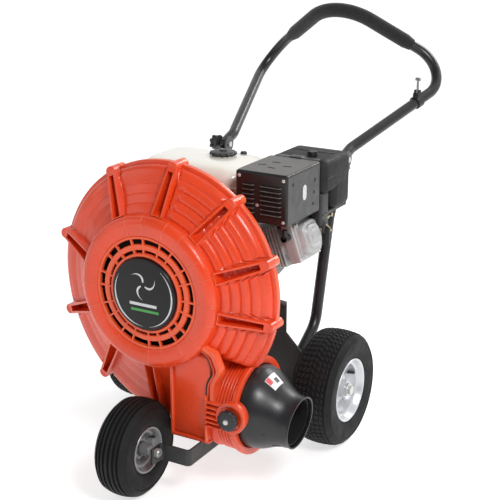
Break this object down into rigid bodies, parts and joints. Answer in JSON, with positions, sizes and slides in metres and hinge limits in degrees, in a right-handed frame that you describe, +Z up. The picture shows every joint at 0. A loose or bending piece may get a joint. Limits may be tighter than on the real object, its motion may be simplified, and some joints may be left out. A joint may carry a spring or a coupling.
{
  "type": "wheeled leaf blower",
  "caption": "Walk-behind wheeled leaf blower: round ribbed orange fan casing, aimable side nozzle, inclined-cylinder engine, folding loop handle and pneumatic wheels.",
  "frame": {"origin": "middle of the machine's footprint, on the ground", "axes": "+Z up, -Y forwards (the side the air is drawn from), +X towards the discharge nozzle"},
  "size_m": [0.7609, 1.4165, 1.1586],
  "materials": {
    "shell_plastic": "moulded, glossy orange",
    "badge": "gloss black",
    "zinc": "bright zinc plated",
    "black_plastic": "textured black",
    "black_steel": "black powder coat",
    "lever_steel": "plated",
    "foam": "soft foam",
    "tyre": "matt rubber",
    "rim": "silver paint",
    "bearing": "ground steel",
    "cast_alloy": "die cast",
    "shaft_steel": "machined",
    "muffler_steel": "heat-resistant grey",
    "tank_paint": "gloss cream"
  },
  "bodies": {
    "chassis": {"housing_front": "shell_plastic", "housing_rear": "shell_plastic", "intake_grille": "shell_plastic", "discharge_collar": "shell_plastic", "badge_disc": "badge", "housing_bolts": "zinc", "frame_fasteners": "zinc", "front_axle_bolt": "zinc", "axle_collars": "zinc", "rear_axle": "zinc", "air_cleaner_base": "black_plastic", "air_cleaner_cover": "black_plastic", "spark_plug_cap": "black_plastic", "rear_cross_plate": "black_steel", "front_upright": "black_steel", "engine_deck": "black_steel", "rail_left": "black_steel", "rail_right": "black_steel", "axle_saddles": "black_steel", "lower_handle_left": "black_steel", "lower_handle_right": "black_steel", "muffler_guard": "black_steel", "fan_housing": "black_steel", "recoil_starter": "black_steel", "crankcase": "cast_alloy", "cylinder": "cast_alloy", "rocker_cover": "cast_alloy", "carburettor": "cast_alloy", "engine_adapter": "cast_alloy", "muffler": "muffler_steel", "fuel_tank": "tank_paint"},
    "left_wheel": {"rear_tyre_left": "tyre", "rear_rim_left": "rim", "rear_bearings_left": "bearing"},
    "right_wheel": {"rear_tyre_right": "tyre", "rear_rim_right": "rim", "rear_bearings_right": "bearing"},
    "front_wheel": {"front_tyre": "tyre", "front_rim": "rim", "front_bearings": "bearing"},
    "rotor": {"impeller": "cast_alloy", "impeller_bolt": "zinc", "crankshaft": "shaft_steel", "flywheel": "cast_alloy"},
    "nozzle": {"nozzle": "black_plastic"},
    "nozzle_knob": {"nozzle_knob": "black_plastic"},
    "handle": {"upper_handle": "black_steel", "handle_grip": "foam", "lever_bracket": "black_plastic"},
    "speed_lever": {"speed_lever": "lever_steel"},
    "handle_knob_left": {"handle_knob_left": "black_plastic"},
    "handle_knob_right": {"handle_knob_right": "black_plastic"},
    "fuel_cap": {"fuel_cap": "black_plastic"},
    "air_cleaner_knob": {"air_cleaner_knob": "black_plastic"},
    "choke_lever": {"choke_lever": "black_plastic"},
    "fuel_lever": {"fuel_lever": "black_plastic"},
    "throttle_lever": {"throttle_lever": "black_plastic"},
    "recoil_grip": {"recoil_grip": "black_plastic"},
    "engine_switch": {"engine_switch": "black_plastic"},
    "dipstick": {"dipstick": "black_plastic"}
  },
  "joints": [
    {"name": "left_wheel_spin", "type": "hinge", "parent": "chassis", "child": "left_wheel", "pos_m": [0.312, -0.051, 0.165], "axis": [1, 0, 0], "continuous": true},
    {"name": "right_wheel_spin", "type": "hinge", "parent": "chassis", "child": "right_wheel", "pos_m": [-0.312, -0.051, 0.165], "axis": [1, 0, 0], "continuous": true},
    {"name": "front_wheel_spin", "type": "hinge", "parent": "chassis", "child": "front_wheel", "pos_m": [0, -0.579, 0.13], "axis": [1, 0, 0], "continuous": true},
    {"name": "rotor_spin", "type": "hinge", "parent": "chassis", "child": "rotor", "pos_m": [0, -0.345, 0.531], "axis": [0, 1, 0], "continuous": true},
    {"name": "nozzle_aim", "type": "hinge", "parent": "chassis", "child": "nozzle", "pos_m": [0.257, -0.38, 0.227], "axis": [1, 0, 0], "range_deg": [-90, 90]},
    {"name": "nozzle_knob_turn", "type": "hinge", "parent": "chassis", "child": "nozzle_knob", "pos_m": [0.248, -0.516, 0.241], "axis": [0, -1, 0], "range_deg": [0, 360]},
    {"name": "handle_fold", "type": "hinge", "parent": "chassis", "child": "handle", "pos_m": [0.2, 0.209, 0.757], "axis": [1, 0, 0], "range_deg": [0, 115]},
    {"name": "handle_knob_left_turn", "type": "hinge", "parent": "chassis", "child": "handle_knob_left", "pos_m": [0.1785, 0.209, 0.757], "axis": [-1, 0, 0], "range_deg": [0, 360]},
    {"name": "handle_knob_right_turn", "type": "hinge", "parent": "chassis", "child": "handle_knob_right", "pos_m": [-0.2215, 0.209, 0.757], "axis": [-1, 0, 0], "range_deg": [0, 360]},
    {"name": "speed_lever_swing", "type": "hinge", "parent": "handle", "child": "speed_lever", "pos_m": [0.287, 0.55375, 0.90701], "axis": [1, 0, 0], "range_deg": [-30, 45]},
    {"name": "fuel_cap_turn", "type": "hinge", "parent": "chassis", "child": "fuel_cap", "pos_m": [0.016, -0.156, 0.821], "axis": [0, 0, 1], "range_deg": [0, 90]},
    {"name": "air_cleaner_knob_turn", "type": "hinge", "parent": "chassis", "child": "air_cleaner_knob", "pos_m": [0.25, -0.085, 0.833], "axis": [0, 0, 1], "range_deg": [0, 360]},
    {"name": "choke_lever_swing", "type": "hinge", "parent": "chassis", "child": "choke_lever", "pos_m": [0.266, -0.038, 0.642], "axis": [1, 0, 0], "range_deg": [0, 45]},
    {"name": "fuel_lever_swing", "type": "hinge", "parent": "chassis", "child": "fuel_lever", "pos_m": [0.266, -0.074, 0.624], "axis": [1, 0, 0], "range_deg": [-30, 30]},
    {"name": "throttle_lever_swing", "type": "hinge", "parent": "chassis", "child": "throttle_lever", "pos_m": [0.136, 0, 0.654], "axis": [0, 0, 1], "range_deg": [-20, 45]},
    {"name": "recoil_pull", "type": "slide", "parent": "chassis", "child": "recoil_grip", "axis": [-0.25, 0.35, 0.9028], "range_m": [0, 0.5]},
    {"name": "engine_switch_turn", "type": "hinge", "parent": "chassis", "child": "engine_switch", "pos_m": [0.062, 0.036, 0.672], "axis": [0, 1, 0], "range_deg": [0, 90]},
    {"name": "dipstick_turn", "type": "hinge", "parent": "chassis", "child": "dipstick", "pos_m": [0.092, -0.07, 0.436], "axis": [1, 0, 0], "range_deg": [0, 360]}
  ]
}
